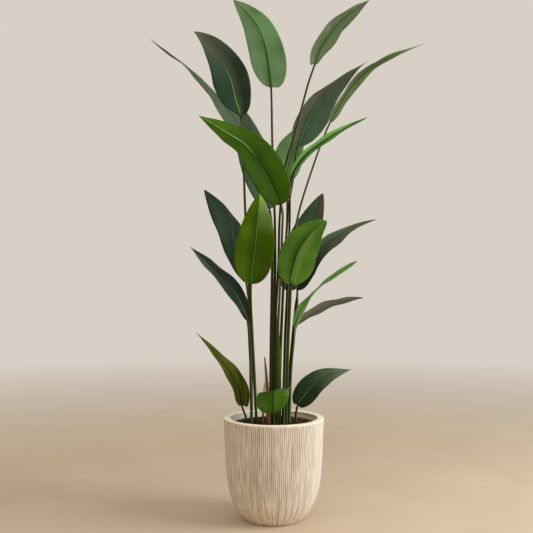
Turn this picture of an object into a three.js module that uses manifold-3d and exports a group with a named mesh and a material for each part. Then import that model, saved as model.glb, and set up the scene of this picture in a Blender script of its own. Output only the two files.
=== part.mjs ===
// A potted bird of paradise: a ribbed round planter, its soil, and one solid for each frond.
// Millimetres, +Z up, seen from the front along +Y. The origin is the middle of the planter's base.

import * as THREE from 'three';
import { mergeVertices } from 'three/addons/utils/BufferGeometryUtils.js';
import Module from 'manifold-3d';

const manifold = await Module();
manifold.setup();

// Planter
const RIM_RADIUS = 165;
const POT_HEIGHT = 333;
const WALL_LEAN = 14;
const BELLY_DEPTH = 58;
const BELLY_POWER = 6;
const BASE_RADIUS = RIM_RADIUS - WALL_LEAN - BELLY_DEPTH;
const LIP_WIDTH = 23;
const LIP_ROUND = 3.5;
const LIP_INNER_ROUND = 4;
const LEDGE_DROP = 14;
const LEDGE_WIDTH = 8;
const WELL_RADIUS = RIM_RADIUS - LIP_WIDTH - LEDGE_WIDTH;
const WELL_STRAIGHT = 40;
const WELL_KNEE_HEIGHT = 110;
const WELL_KNEE_INSET = 14;
const FLOOR_THICKNESS = 16;
const FLOOR_RADIUS = 81;
const OUTSIDE_HEIGHTS = [0, 12, 32, 60, 100, 165, 245, POT_HEIGHT - LIP_ROUND];
const FLUTE_COUNT = 48;
const FLUTE_DEPTH = 2.4;
const FLUTE_FADE = 4;

// Soil
const SOIL_TOP = 316;
const SOIL_GAP = 0.5;
const SOIL_SIDES = 48;
const SOIL_CROWN = 3;
const SOIL_CROWN_WIDTH = 24;

// Stalks, blades and dried shoots
const FOOT_DEPTH = 62;
const FOOT_RADIUS = 5;
const COLLAR_RADIUS = 3.4;
const SHEATH_END = 35;
const HOLE_GAP = 0.4;
const HOLE_RINGS = 5;
const SHOOT_STEPS = 8;
const SHOOT_TAPER = 0.75;
const BLADE_THICKNESS = 1.2;
const RIB_DEPTH = 3.2;
const TIP_HALF_WIDTH = 1.2;
const BLADE_BLUNTNESS = 0.46;
const BLADE_TAPER = 0.8;
const BLADE_STEPS = 15;
const BLADE_CROWDING = 1.25;
const BEND_STEPS = 2;
const LENGTH_SAMPLES = 40;
const EDGE_WAVES = 2.5;
const EDGE_WAVE_SHIFT = 1.3;
const LOBE_FADE = 8;
const ACROSS = [-1, -0.5, 0, 0.5, 1];

const GREENS = {
  bright: '#4d8420',
  dark: '#24452c',
  hazy: '#5d8257',
  olive: '#5f7a26',
};

// Each frond has its stalk from its place in the soil to the collar, where the blade starts, and
// its midrib from there to the tip. `face` is the way the upper side looks, from the collar to the
// tip. `fold` is how far each half of the blade lifts from flat, in degrees, and droops if it is
// negative. `wave` is the height of the edge's wave, `foot` the stalk's radius at the soil,
// `sheath` the radius and top of the wide sheath that wraps a stalk's lower part, and `lobe` how
// far the edge hangs back past the collar. Other pairs are for a blade whose halves differ: the
// half on the left comes first, looking along the midrib with the upper side on top.
const FRONDS = [
  {
    name: 'frond_crown', color: 'hazy', foot: 6,
    width: [122, 122], blunt: [0.36, 0.56], taper: [0.95, 0.85], fold: 8, wave: 3, lobe: [6, 0],
    stalk: [[-2, 8], [-2, 8, 560], [0, 7, 690], [4, 6, 800], [4, 8, 960], [1, 9, 1060], [-5, 14, 1250],
      [-9, 20, 1425]],
    midrib: [[-17, 16, 1492], [-29, 6, 1560], [-53, -12, 1622], [-87, -35, 1660], [-131, -62, 1692]],
    face: [[0.1, 1, 0.2], [0.3, 1, 0.4]],
  },
  {
    name: 'frond_upper_left', color: 'dark',
    width: [128, 119], blunt: [0.8, 0.46], taper: [1.3, 0.75], fold: 10, wave: 3,
    stalk: [[-73, 6], [-78, 7, 560], [-82, 8, 770], [-94, 6, 1006], [-101, -2, 1200], [-109, -10, 1325]],
    midrib: [[-125, -10, 1382], [-145, -14, 1455], [-172, -25, 1503], [-207, -42, 1543], [-258, -70, 1586]],
    face: [[0.1, -1, 0.1], [0.1, -1, 0.3]],
  },
  {
    name: 'frond_far_left', color: 'hazy',
    width: 96, taper: [0.9, 2.0], fold: -14, wave: 3,
    stalk: [[-56, 18], [-73, 22, 650], [-90, 34, 900], [-99, 54, 1120], [-104, 68, 1250]],
    midrib: [[-114, 75, 1306], [-163, 80, 1370], [-212, 80, 1427], [-283, 80, 1499], [-416, 80, 1600]],
    face: [[0.6, 0.5, 0.6], [0.66, 0.42, 0.6], [0.62, 0.2, 0.7], [0.6, 0.0, 0.75], [0.4, -0.35, 0.7]],
  },
  {
    name: 'frond_back_left', color: 'dark', foot: 6,
    width: [116, 128], taper: [1.0, 0.8], fold: 8, wave: 3,
    stalk: [[-10, 24], [-9, 24, 560], [-6, 24, 760], [-4, 32, 930], [-8, 46, 985], [-14, 60, 1024]],
    midrib: [[-26, 74, 1080], [-52, 96, 1160], [-88, 126, 1260], [-126, 160, 1400]],
    face: [[0.1, -1, 0.3], [0, -1, 0.4]],
  },
  {
    name: 'frond_front_left', color: 'bright', sheath: [9.5, 580],
    width: [150, 132], blunt: 0.45, taper: [0.8, 1.0], fold: 10, wave: 3,
    stalk: [[15, -16], [15, -16, 545], [15, -16, 580], [14, -18, 625], [21, -30, 780], [27, -60, 950],
      [28, -70, 1000], [23, -75, 1029]],
    midrib: [[-2, -84, 1088], [-26, -95, 1135], [-86, -122, 1211], [-150, -150, 1250], [-233, -188, 1296]],
    face: [[0.2, -0.85, 0.4], [0.2, -0.75, 0.6]],
  },
  {
    name: 'frond_upper_right', color: 'hazy',
    width: [104, 120], blunt: [0.7, 0.3], taper: [0.9, 1.3], fold: -6, wave: 3, lobe: [0, 20],
    stalk: [[7, -1], [7, -1, 450], [7, -1, 690], [12, -2, 770], [16, -3, 870], [20, -10, 1000],
      [38, -36, 1160], [66, -42, 1255], [88, -38, 1337], [113, -22, 1430], [134, -10, 1493]],
    midrib: [[148, -6, 1538], [176, 4, 1586], [216, 18, 1640], [266, 34, 1686], [324, 50, 1728]],
    face: [[-0.75, 0.5, 0.5], [-0.6, 0.45, 0.7]],
  },
  {
    name: 'frond_right', color: 'dark',
    width: [130, 126], blunt: [0.7, 0.56], taper: [1.55, 2.2], fold: [-30, -16], wave: 3,
    stalk: [[16, 20], [18, 20, 440], [28, 20, 690], [44, 20, 960], [52, 23, 1045], [66, 28, 1130],
      [79, 30, 1228]],
    midrib: [[98, 32, 1286], [125, 35, 1343], [158, 35, 1393], [240, 20, 1466], [312, 5, 1509]],
    face: [[-0.5, 0.75, 0.4], [-0.5, 0.75, 0.5]],
  },
  {
    name: 'frond_far_right', color: 'hazy',
    width: [76, 84], taper: [1.4, 1.25], fold: -6, wave: 3,
    stalk: [[39, 36], [42, 38, 440], [51, 38, 720], [74, 48, 965], [133, 75, 1167], [193, 100, 1323]],
    midrib: [[227, 100, 1385], [268, 100, 1446], [315, 95, 1493], [380, 86, 1535], [504, 60, 1580]],
    face: [[-0.7, 0.36, 0.6], [-0.6, 0.33, 0.7], [-0.4, 0.35, 0.8]],
  },
  {
    name: 'frond_right_slender', color: 'bright',
    width: 34, fold: 12, wave: 2,
    stalk: [[30, -24], [33, -22, 445], [43, -19, 725], [52, -20, 970], [57, -30, 1116]],
    midrib: [[77, -35, 1158], [110, -42, 1198], [154, -50, 1230], [206, -60, 1264], [299, -80, 1308]],
    face: [[-0.45, -0.8, 0.45], [-0.4, -0.8, 0.5]],
  },
  {
    name: 'frond_back_right_high', color: 'hazy',
    width: [104, 94], fold: 8, wave: 3,
    stalk: [[16, 36], [20, 38, 440], [31, 38, 720], [45, 48, 980], [46, 60, 1116]],
    midrib: [[47, 72, 1156], [52, 92, 1192], [68, 118, 1250], [96, 150, 1314]],
    face: [[0, -1, 0.3], [0, -1, 0.5]],
  },
  {
    name: 'frond_mid_left', color: 'dark',
    width: 114, blunt: [0.6, 0.46], fold: -5, wave: 3,
    stalk: [[-73, 44], [-78, 48, 650], [-93, 60, 781]],
    midrib: [[-105, 55, 846], [-124, 44, 908], [-165, 20, 990], [-229, -10, 1083]],
    face: [[0.55, -0.8, 0.2], [0.5, -0.7, 0.5]],
  },
  {
    name: 'frond_front_upright', color: 'bright',
    width: 126, fold: 8, wave: 3,
    stalk: [[-56, -18], [-72, -48, 640], [-74, -80, 774]],
    midrib: [[-67, -95, 835], [-58, -110, 905], [-51, -125, 977], [-46, -150, 1057]],
    face: [[-0.1, -1, 0.2], [0, -1, 0.3]],
  },
  {
    name: 'frond_low_left', color: 'dark',
    width: 92, blunt: 0.6, taper: 0.95, fold: 6, wave: 3,
    stalk: [[-72, -28], [-74, -30, 440], [-79, -34, 560], [-86, -38, 653]],
    midrib: [[-97, -38, 688], [-123, -42, 739], [-178, -50, 801], [-270, -62, 893]],
    face: [[0.66, -0.5, 0.5], [0.6, -0.45, 0.7]],
  },
  {
    name: 'frond_front_right', color: 'bright',
    width: [120, 132], taper: [0.8, 0.6], fold: 10, wave: 3,
    stalk: [[39, -38], [43, -38, 440], [48, -38, 600], [53, -48, 710], [56, -60, 772]],
    midrib: [[65, -75, 822], [81, -100, 878], [104, -125, 916], [135, -150, 950], [163, -175, 971]],
    face: [[-0.1, -1, 0.2], [-0.2, -1, 0.4]],
  },
  {
    name: 'frond_back_right', color: 'dark',
    width: 112, fold: 8, wave: 3,
    stalk: [[30, 54], [34, 56, 426], [40, 58, 640], [48, 66, 748]],
    midrib: [[62, 74, 800], [84, 88, 862], [122, 108, 966], [171, 132, 1083]],
    face: [[0, -1, 0.2], [0, -1, 0.4]],
  },
  {
    name: 'frond_mid_right', color: 'dark', sheath: [6.6, 735],
    width: [108, 100], taper: [0.9, 1.4], fold: -6, wave: 3,
    stalk: [[50, 0], [54, 0, 470], [66, -7, 620], [74, -11, 700], [77, -10, 735], [78, -7, 752]],
    midrib: [[106, -10, 828], [154, -20, 887], [206, -30, 925], [264, -42, 958], [330, -60, 982]],
    face: [[-0.6, -0.55, 0.5], [-0.5, -0.45, 0.75]],
  },
  {
    name: 'frond_low_right_slender', color: 'bright',
    width: 54, taper: 0.75, fold: 4, wave: 2,
    stalk: [[48, -22], [53, -24, 440], [64, -31, 585], [68, -38, 633]],
    midrib: [[85, -40, 682], [111, -46, 721], [140, -54, 756], [181, -62, 790], [267, -80, 848]],
    face: [[-0.55, -0.75, 0.5], [-0.75, 0.06, 0.6], [-0.4, -0.7, 0.6]],
  },
  {
    name: 'frond_low_right', color: 'dark',
    width: 92, fold: 8, wave: 2,
    stalk: [[52, 20], [55, 20, 440], [66, 19, 570], [76, 18, 634]],
    midrib: [[97, 18, 652], [146, 22, 681], [205, 29, 704], [299, 40, 726]],
    face: [[-0.5, 0.4, 0.8], [-0.3, 0.3, 0.9]],
  },
  {
    name: 'frond_pot_left', color: 'olive',
    width: [54, 72], blunt: 0.34, taper: [1.05, 1.5], fold: 6, wave: 2, lobe: [0, 38],
    stalk: [[-90, 12], [-93, 14, 330], [-106, 20, 368]],
    midrib: [[-115, 16, 423], [-138, 8, 471], [-170, -5, 517], [-208, -25, 567], [-252, -50, 616]],
    face: [[0.5, -0.8, 0.3], [0.6, -0.6, 0.5]],
  },
  {
    name: 'frond_pot_right', color: 'dark', foot: 4.6,
    width: [84, 80], taper: [1.25, 1.0], fold: 6, wave: 2, lobe: [6, 6],
    stalk: [[69, -14], [71, -14, 330], [79, -20, 376]],
    midrib: [[103, -30, 413], [134, -42, 450], [172, -55, 476], [209, -68, 490], [247, -80, 500]],
    face: [[-0.35, -0.9, 0.2], [-0.3, -0.8, 0.5]],
  },
  {
    name: 'frond_pot_front', color: 'bright',
    width: [108, 104], blunt: [0.36, 0.6], taper: [0.8, 0.6], fold: 4, wave: 2,
    stalk: [[0, -60], [0, -62, 330], [-2, -75, 359]],
    midrib: [[-3, -86, 396], [-2, -100, 428], [12, -122, 441], [50, -140, 446]],
    face: [[0, -1, 0.1], [0.2, 0.2, -1]],
  },
];

const SHOOTS = [
  {
    name: 'dried_shoot_tall', color: '#7a4a2c', radius: 9,
    route: [[-17, -26], [-22, -26, 440], [-30, -26, 535]],
  },
  {
    name: 'dried_shoot_short', color: '#5d4a3c', radius: 4.4,
    route: [[-37, -26], [-33, -28, 400], [-31, -28, 452]],
  },
];

// ---------------------------------------------------------------- shared shapes

// Joins a closed chain of equal rings into one solid with flat ends. Both faces of a blade lie on
// one ring, so the quads after `turn` are split the other way, and the two faces match.
function skinRings(rings, turn) {
  const count = rings[0].length;
  const positions = rings.flat().flatMap((point) => [point.x, point.y, point.z]);
  const triangles = [];
  for (let ring = 0; ring + 1 < rings.length; ring += 1) {
    for (let side = 0; side < count; side += 1) {
      const a = ring * count + side;
      const b = ring * count + (side + 1) % count;
      const c = a + count;
      const d = b + count;
      if (side < turn) triangles.push(a, b, d, a, d, c);
      else triangles.push(a, b, c, b, d, c);
    }
  }
  const last = (rings.length - 1) * count;
  for (let side = 0; side + 1 < count / 2; side += 1) {
    const left = [side, count - 1 - side];
    const right = [side + 1, count - 2 - side];
    triangles.push(left[0], left[1], right[1], left[0], right[1], right[0]);
    triangles.push(last + left[0], last + right[1], last + left[1]);
    triangles.push(last + left[0], last + right[0], last + right[1]);
  }
  const geometry = new THREE.BufferGeometry();
  geometry.setAttribute('position', new THREE.Float32BufferAttribute(positions, 3));
  geometry.setIndex(triangles);
  return geometry;
}

function toManifold(geometry) {
  const merged = mergeVertices(geometry, 1e-4);
  return new manifold.Manifold(new manifold.Mesh({
    numProp: 3,
    vertProperties: new Float32Array(merged.attributes.position.array),
    triVerts: new Uint32Array(merged.index.array),
  }));
}

function toGeometry(solid) {
  const mesh = solid.getMesh();
  const geometry = new THREE.BufferGeometry();
  geometry.setAttribute('position', new THREE.BufferAttribute(new Float32Array(mesh.vertProperties), 3));
  geometry.setIndex(new THREE.BufferAttribute(new Uint32Array(mesh.triVerts), 1));
  return geometry;
}

function namedMesh(geometry, name, color, roughness) {
  geometry.computeVertexNormals();
  const material = new THREE.MeshStandardMaterial({ color, roughness, metalness: 0 });
  const mesh = new THREE.Mesh(geometry, material);
  mesh.name = name;
  return mesh;
}

// ---------------------------------------------------------------- planter

// The wall leans in evenly towards the base, and its lowest quarter rounds in much faster.
function planterOutside(height) {
  const below = 1 - height / POT_HEIGHT;
  return RIM_RADIUS - WALL_LEAN * below - BELLY_DEPTH * below ** BELLY_POWER;
}

function planterProfile() {
  const opening = RIM_RADIUS - LIP_WIDTH;
  const ledge = POT_HEIGHT - LEDGE_DROP;
  const outside = OUTSIDE_HEIGHTS.map((height) => ({ radius: planterOutside(height), height, fluted: true }));
  const lip = [60, 90].map((degrees) => {
    const angle = THREE.MathUtils.degToRad(degrees);
    return {
      radius: RIM_RADIUS - LIP_ROUND + LIP_ROUND * Math.cos(angle),
      height: POT_HEIGHT - LIP_ROUND + LIP_ROUND * Math.sin(angle),
    };
  });
  const inside = [
    { radius: opening + LIP_INNER_ROUND, height: POT_HEIGHT },
    { radius: opening, height: POT_HEIGHT - LIP_INNER_ROUND },
    { radius: opening, height: ledge },
    { radius: WELL_RADIUS, height: ledge },
    { radius: WELL_RADIUS, height: ledge - WELL_STRAIGHT },
    { radius: WELL_RADIUS - WELL_KNEE_INSET, height: WELL_KNEE_HEIGHT },
    { radius: FLOOR_RADIUS, height: FLOOR_THICKNESS },
  ];
  return [...outside, ...lip, ...inside];
}

function fluteRelief(height, isGroove) {
  const fade = THREE.MathUtils.clamp((POT_HEIGHT - LIP_ROUND - height) / FLUTE_FADE, 0, 1);
  return isGroove ? -FLUTE_DEPTH * fade * (planterOutside(height) / RIM_RADIUS) : 0;
}

function planterGeometry() {
  const sides = FLUTE_COUNT * 2;
  const profile = planterProfile();
  const positions = [0, 0, 0];
  const triangles = [];
  profile.forEach(({ radius, height, fluted }) => {
    for (let side = 0; side < sides; side += 1) {
      const angle = (side / sides) * Math.PI * 2;
      const reach = radius + (fluted ? fluteRelief(height, side % 2 === 1) : 0);
      positions.push(reach * Math.cos(angle), reach * Math.sin(angle), height);
    }
  });
  positions.push(0, 0, FLOOR_THICKNESS);
  const floorCentre = positions.length / 3 - 1;
  for (let side = 0; side < sides; side += 1) {
    const next = (side + 1) % sides;
    triangles.push(0, 1 + next, 1 + side);
    for (let ring = 0; ring + 1 < profile.length; ring += 1) {
      const a = 1 + ring * sides + side;
      const b = 1 + ring * sides + next;
      triangles.push(a, b, b + sides, a, b + sides, a + sides);
    }
    const top = 1 + (profile.length - 1) * sides;
    triangles.push(top + side, top + next, floorCentre);
  }
  const geometry = new THREE.BufferGeometry();
  geometry.setAttribute('position', new THREE.Float32BufferAttribute(positions, 3));
  geometry.setIndex(triangles);
  return geometry;
}

// ---------------------------------------------------------------- fronds

// A stem starts at its foot in the soil and first goes straight up, then through its own points.
function stemPoints([[x, y], ...rest]) {
  const foot = [FOOT_DEPTH, FOOT_DEPTH / 2].map((depth) => new THREE.Vector3(x, y, SOIL_TOP - depth));
  return [...foot, ...rest.map((point) => new THREE.Vector3(...point))];
}

function frondCurve({ stalk, midrib }) {
  const points = [...stemPoints(stalk), ...midrib.map((point) => new THREE.Vector3(...point))];
  return { curve: new THREE.CatmullRomCurve3(points), spans: points.length - 1, collar: stalk.length };
}

// One half of a blade: each measure that is given as a pair, read for the half that `share` is on.
function bladeHalf({ width, blunt = BLADE_BLUNTNESS, taper = BLADE_TAPER, fold, lobe = 0 }, share) {
  const [ownWidth, ownBlunt, ownTaper, ownFold, ownLobe] = [width, blunt, taper, fold, lobe]
    .map((measure) => (Array.isArray(measure) ? measure[share < 0 ? 0 : 1] : measure));
  return { width: ownWidth, blunt: ownBlunt, taper: ownTaper, fold: ownFold, lobe: ownLobe };
}

// How far a half reaches out from the midrib: round at the collar, pointed at the tip, and widest
// where the two powers balance.
function bladeReach(along, { width, blunt, taper }) {
  const widest = blunt / (blunt + taper);
  const shape = (along / widest) ** blunt * ((1 - along) / (1 - widest)) ** taper;
  return Math.max(TIP_HALF_WIDTH, width / 2 * shape);
}

// The directions that a blade's upper side looks in are spaced evenly along it.
function faceAt(face, along) {
  const place = along * (face.length - 1);
  const index = Math.min(Math.floor(place), face.length - 2);
  return face[index].clone().lerp(face[index + 1], place - index);
}

// The way the upper side looks, square to the run of the frond.
function squareFace(face, tangent) {
  return face.clone().addScaledVector(tangent, -face.dot(tangent)).normalize();
}

function stalkRing(centre, tangent, face, radius) {
  const upper = squareFace(face, tangent);
  const across = new THREE.Vector3().crossVectors(tangent, upper);
  const count = ACROSS.length * 2;
  return Array.from({ length: count }, (_, side) => {
    const angle = Math.PI - (side + 0.5) / count * Math.PI * 2;
    return centre.clone()
      .addScaledVector(across, radius * Math.cos(angle))
      .addScaledVector(upper, radius * Math.sin(angle));
  });
}

function bladeRing(frond, centre, tangent, face, along) {
  const upper = squareFace(face, tangent);
  const across = new THREE.Vector3().crossVectors(tangent, upper);
  const swing = Math.sin(along * Math.PI);
  const point = (share, lower) => {
    const half = bladeHalf(frond, share);
    const reach = bladeReach(along, half);
    const fold = THREE.MathUtils.degToRad(half.fold);
    const turn = along * EDGE_WAVES * Math.PI * 2 + share * EDGE_WAVE_SHIFT;
    const wave = frond.wave * share * share * swing * Math.sin(turn);
    const rib = share === 0 ? RIB_DEPTH * (1 - along) : 0;
    const lift = Math.abs(share) * reach * Math.sin(fold) + wave - (lower ? BLADE_THICKNESS + rib : 0);
    return centre.clone()
      .addScaledVector(across, share * reach * Math.cos(fold))
      .addScaledVector(upper, lift + BLADE_THICKNESS / 2)
      .addScaledVector(tangent, -half.lobe * share * share * (1 - along) ** LOBE_FADE);
  };
  return [
    ...ACROSS.map((share) => point(share, false)),
    ...ACROSS.map((share) => point(-share, true)),
  ];
}

function frondFaces(frond) {
  return frond.face.map((direction) => new THREE.Vector3(...direction).normalize());
}

// A stalk tapers evenly from its foot to the collar, and above a sheath it is as slim as any other.
function stalkRadius({ foot = FOOT_RADIUS, sheath }, share, height) {
  const plain = THREE.MathUtils.lerp(foot, COLLAR_RADIUS, share);
  if (!sheath) return plain;
  const [radius, top] = sheath;
  return THREE.MathUtils.lerp(radius, plain, THREE.MathUtils.smoothstep(height, top - SHEATH_END, top));
}

function stalkRings(frond, extra) {
  const { curve, spans, collar } = frondCurve(frond);
  const steps = collar * BEND_STEPS;
  const face = frondFaces(frond)[0];
  return Array.from({ length: steps + 1 }, (_, step) => {
    const t = step / steps * collar / spans;
    const centre = curve.getPoint(t);
    const radius = stalkRadius(frond, step / steps, centre.z);
    return stalkRing(centre, curve.getTangent(t), face, radius + extra);
  });
}

function frondGeometry(frond) {
  const { curve, spans, collar } = frondCurve(frond);
  const face = frondFaces(frond);
  const rings = stalkRings(frond, 0);
  const lengths = curve.getLengths(spans * LENGTH_SAMPLES);
  const start = lengths[collar * LENGTH_SAMPLES] / lengths[spans * LENGTH_SAMPLES];
  for (let step = 1; step <= BLADE_STEPS; step += 1) {
    const along = (step / BLADE_STEPS) ** BLADE_CROWDING;
    const u = start + (1 - start) * along;
    rings.push(bladeRing(frond, curve.getPointAt(u), curve.getTangentAt(u), faceAt(face, along), along));
  }
  return skinRings(rings, ACROSS.length);
}

// What a stalk or shoot takes out of the soil: the stem itself, wider and deeper by the gap.
function holeGeometry(rings) {
  const floor = rings[0].map((point) => point.clone().setZ(point.z - HOLE_GAP));
  return skinRings([floor, ...rings.slice(1, HOLE_RINGS)], ACROSS.length);
}

function shootRings(shoot, extra) {
  const curve = new THREE.CatmullRomCurve3(stemPoints(shoot.route));
  const face = new THREE.Vector3(0, -1, 0);
  return Array.from({ length: SHOOT_STEPS + 1 }, (_, step) => {
    const t = step / SHOOT_STEPS;
    const radius = shoot.radius * (1 - SHOOT_TAPER * t * t);
    return stalkRing(curve.getPoint(t), curve.getTangent(t), face, radius + extra);
  });
}

// ---------------------------------------------------------------- soil

function soilGeometry() {
  const reach = WELL_RADIUS - SOIL_GAP;
  const profile = [
    [0, FLOOR_THICKNESS + SOIL_GAP],
    [FLOOR_RADIUS - SOIL_GAP * 2, FLOOR_THICKNESS + SOIL_GAP],
    [reach - WELL_KNEE_INSET - SOIL_GAP, WELL_KNEE_HEIGHT],
    [reach - SOIL_GAP, POT_HEIGHT - LEDGE_DROP - WELL_STRAIGHT],
    [reach - SOIL_GAP, SOIL_TOP - SOIL_CROWN],
    [reach - SOIL_CROWN_WIDTH, SOIL_TOP],
    [0, SOIL_TOP],
  ].map(([radius, height]) => new THREE.Vector2(radius, height));
  const lathe = new THREE.LatheGeometry(profile, SOIL_SIDES);
  lathe.rotateX(Math.PI / 2);
  lathe.deleteAttribute('normal');
  lathe.deleteAttribute('uv');
  let soil = toManifold(lathe);
  const stems = [
    ...FRONDS.map((frond) => stalkRings(frond, HOLE_GAP)),
    ...SHOOTS.map((shoot) => shootRings(shoot, HOLE_GAP)),
  ];
  stems.forEach((rings) => {
    soil = soil.subtract(toManifold(holeGeometry(rings)));
  });
  return toGeometry(soil);
}

// ---------------------------------------------------------------- assembly

const plant = new THREE.Group();
plant.add(namedMesh(planterGeometry(), 'planter', '#d8c8ac', 0.9));
plant.add(namedMesh(soilGeometry(), 'soil', '#3c2d1e', 1));
FRONDS.forEach((frond) => {
  plant.add(namedMesh(frondGeometry(frond), frond.name, GREENS[frond.color], 0.45));
});
SHOOTS.forEach((shoot) => {
  const geometry = skinRings(shootRings(shoot, 0), ACROSS.length);
  plant.add(namedMesh(geometry, shoot.name, shoot.color, 0.85));
});

export default plant;
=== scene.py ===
"""A potted bird of paradise in a fluted planter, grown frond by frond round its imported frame.

Sizes of the fronds are in millimetres, as on the drawing; everything that is built is in metres.
"""
import math

import bmesh
import bpy
import numpy as np
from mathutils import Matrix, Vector, noise


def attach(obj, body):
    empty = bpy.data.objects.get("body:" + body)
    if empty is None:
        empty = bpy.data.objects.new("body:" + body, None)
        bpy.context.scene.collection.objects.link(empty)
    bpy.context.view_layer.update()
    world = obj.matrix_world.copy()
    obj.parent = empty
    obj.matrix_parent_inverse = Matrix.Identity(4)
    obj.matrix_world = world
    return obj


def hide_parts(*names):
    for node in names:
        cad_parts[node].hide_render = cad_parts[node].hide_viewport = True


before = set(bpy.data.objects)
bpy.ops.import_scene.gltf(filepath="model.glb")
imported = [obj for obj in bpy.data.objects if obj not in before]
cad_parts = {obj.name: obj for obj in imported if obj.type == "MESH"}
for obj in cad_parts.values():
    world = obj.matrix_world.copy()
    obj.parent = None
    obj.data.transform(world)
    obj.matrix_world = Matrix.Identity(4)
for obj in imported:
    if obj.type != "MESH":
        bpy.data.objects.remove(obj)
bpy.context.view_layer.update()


# ------------------------------------------------------------------ studio
# A plain pale floor, a bright window to the right and soft light all round. The camera stands
# level, as high as the picture's middle, which is where the photo's vanishing point is.

def paint(red, green, blue):
    """A colour as a paint chart gives it, 0 to 255, as light."""
    def light(value):
        value /= 255
        return value / 12.92 if value <= 0.04045 else ((value + 0.055) / 1.055) ** 2.4
    return light(red), light(green), light(blue), 1.0


def node(tree, kind, plugs=None, **settings):
    """One node of a finish, with its settings, and its inputs set or plugged in."""
    made = tree.nodes.new(kind)
    for name, value in settings.items():
        setattr(made, name, value)
    for name, value in (plugs or {}).items():
        if isinstance(value, bpy.types.NodeSocket):
            tree.links.new(value, made.inputs[name])
        else:
            made.inputs[name].default_value = value
    return made


def new_finish(name):
    """An empty finish: its node tree and its shader."""
    material = bpy.data.materials.new(name)
    material.use_nodes = True
    return material, material.node_tree, material.node_tree.nodes["Principled BSDF"]


def blend_colours(tree, share, first, second, way="MIX"):
    """The first colour where the share is 0, the second where it is 1."""
    plugs = {"Fac": share, "Color1": first, "Color2": second}
    return node(tree, "ShaderNodeMixRGB", plugs, blend_type=way).outputs["Color"]


def fit_range(tree, value, low, high, to_low=0.0, to_high=1.0):
    """A value between low and high, stretched to another range and held at its ends."""
    plugs = {"Value": value, "From Min": low, "From Max": high, "To Min": to_low, "To Max": to_high}
    return node(tree, "ShaderNodeMapRange", plugs).outputs["Result"]


def grain(tree, size, detail=3.0, stretch=None):
    """Cloudy unevenness of about this size in metres, over the piece as it was made."""
    coords = node(tree, "ShaderNodeTexCoord").outputs["Object"]
    if stretch:
        coords = node(tree, "ShaderNodeMapping", {"Vector": coords, "Scale": stretch}).outputs["Vector"]
    plugs = {"Vector": coords, "Scale": 1 / size, "Detail": detail}
    return node(tree, "ShaderNodeTexNoise", plugs).outputs["Fac"]


def skin(name, points, faces, materials, face_finish=None):
    """A smooth mesh piece from its points and faces, with the number of each face's material."""
    mesh = bpy.data.meshes.new(name)
    mesh.from_pydata([tuple(point) for point in points], [], faces)
    for material in materials:
        mesh.materials.append(material)
    if face_finish is not None:
        mesh.polygons.foreach_set("material_index", face_finish)
    mesh.polygons.foreach_set("use_smooth", [True] * len(mesh.polygons))
    mesh.update()
    piece = bpy.data.objects.new(name, mesh)
    bpy.context.scene.collection.objects.link(piece)
    return piece


ROOM_LIGHT = paint(216, 208, 198)
FLOOR_HALF, FLOOR_DROP = 9.0, 0.0004
HAZE_STARTS, HAZE_ENDS = 1.2, 5.0
floor_finish, tree, shader = new_finish("floor_plaster")
mottle = grain(tree, 0.35, 5.0)
plaster = blend_colours(tree, mottle, paint(192, 175, 152), paint(208, 191, 168))
spot = node(tree, "ShaderNodeTexCoord").outputs["Object"]
from_plant = node(tree, "ShaderNodeVectorMath", {0: spot}, operation="LENGTH").outputs["Value"]
haze = fit_range(tree, from_plant, HAZE_STARTS, HAZE_ENDS)
tree.links.new(blend_colours(tree, haze, plaster, paint(0, 0, 0)), shader.inputs["Base Color"])
tree.links.new(haze, shader.inputs["Emission Strength"])
tree.links.new(fit_range(tree, mottle, 0.3, 0.7, 0.6, 0.75), shader.inputs["Roughness"])
shader.inputs["Emission Color"].default_value = ROOM_LIGHT
shader.inputs["Specular IOR Level"].default_value = 0.0
corners = [(-1, -1), (1, -1), (1, 1), (-1, 1)]
floor_points = [(x * FLOOR_HALF, y * FLOOR_HALF, -FLOOR_DROP) for x, y in corners]
floor = skin("floor", floor_points, [(0, 1, 2, 3)], [floor_finish])

world = bpy.data.worlds.new("pale_room")
world.use_nodes = True
world.node_tree.nodes["Background"].inputs["Color"].default_value = ROOM_LIGHT
world.node_tree.nodes["Background"].inputs["Strength"].default_value = 1.0
bpy.context.scene.world = world


def soft_lamp(name, place, aim, width, height, power, colour):
    """A flat lamp of this size in metres and power in watts, turned towards its aim."""
    lamp = bpy.data.lights.new(name, "AREA")
    lamp.shape = "RECTANGLE"
    lamp.size, lamp.size_y = width, height
    lamp.energy = power
    lamp.color = colour[:3]
    holder = bpy.data.objects.new(name, lamp)
    holder.location = place
    holder.rotation_euler = (Vector(aim) - Vector(place)).to_track_quat("-Z", "Y").to_euler()
    bpy.context.scene.collection.objects.link(holder)


soft_lamp("window", place=(2.3, -0.7, 1.7), aim=(0, 0, 0.8), width=1.4, height=2.0, power=60,
          colour=paint(252, 250, 250))
soft_lamp("front_sky", place=(-0.4, -2.6, 3.0), aim=(0, 0, 1.0), width=2.4, height=1.6, power=8,
          colour=paint(255, 240, 214))

CAMERA_PLACE = (-0.024, -2.878, 0.830)
PICTURE_SIDE = 533
FOCAL_PIXELS = 872
SENSOR = 36.0
camera = bpy.data.cameras.new("camera")
camera.sensor_width = SENSOR
camera.lens = SENSOR * FOCAL_PIXELS / PICTURE_SIDE
camera_holder = bpy.data.objects.new("camera", camera)
camera_holder.location = CAMERA_PLACE
camera_holder.rotation_euler = (math.radians(90), 0, 0)
bpy.context.scene.collection.objects.link(camera_holder)
bpy.context.scene.camera = camera_holder
bpy.context.scene.view_settings.view_transform = "Standard"


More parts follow.
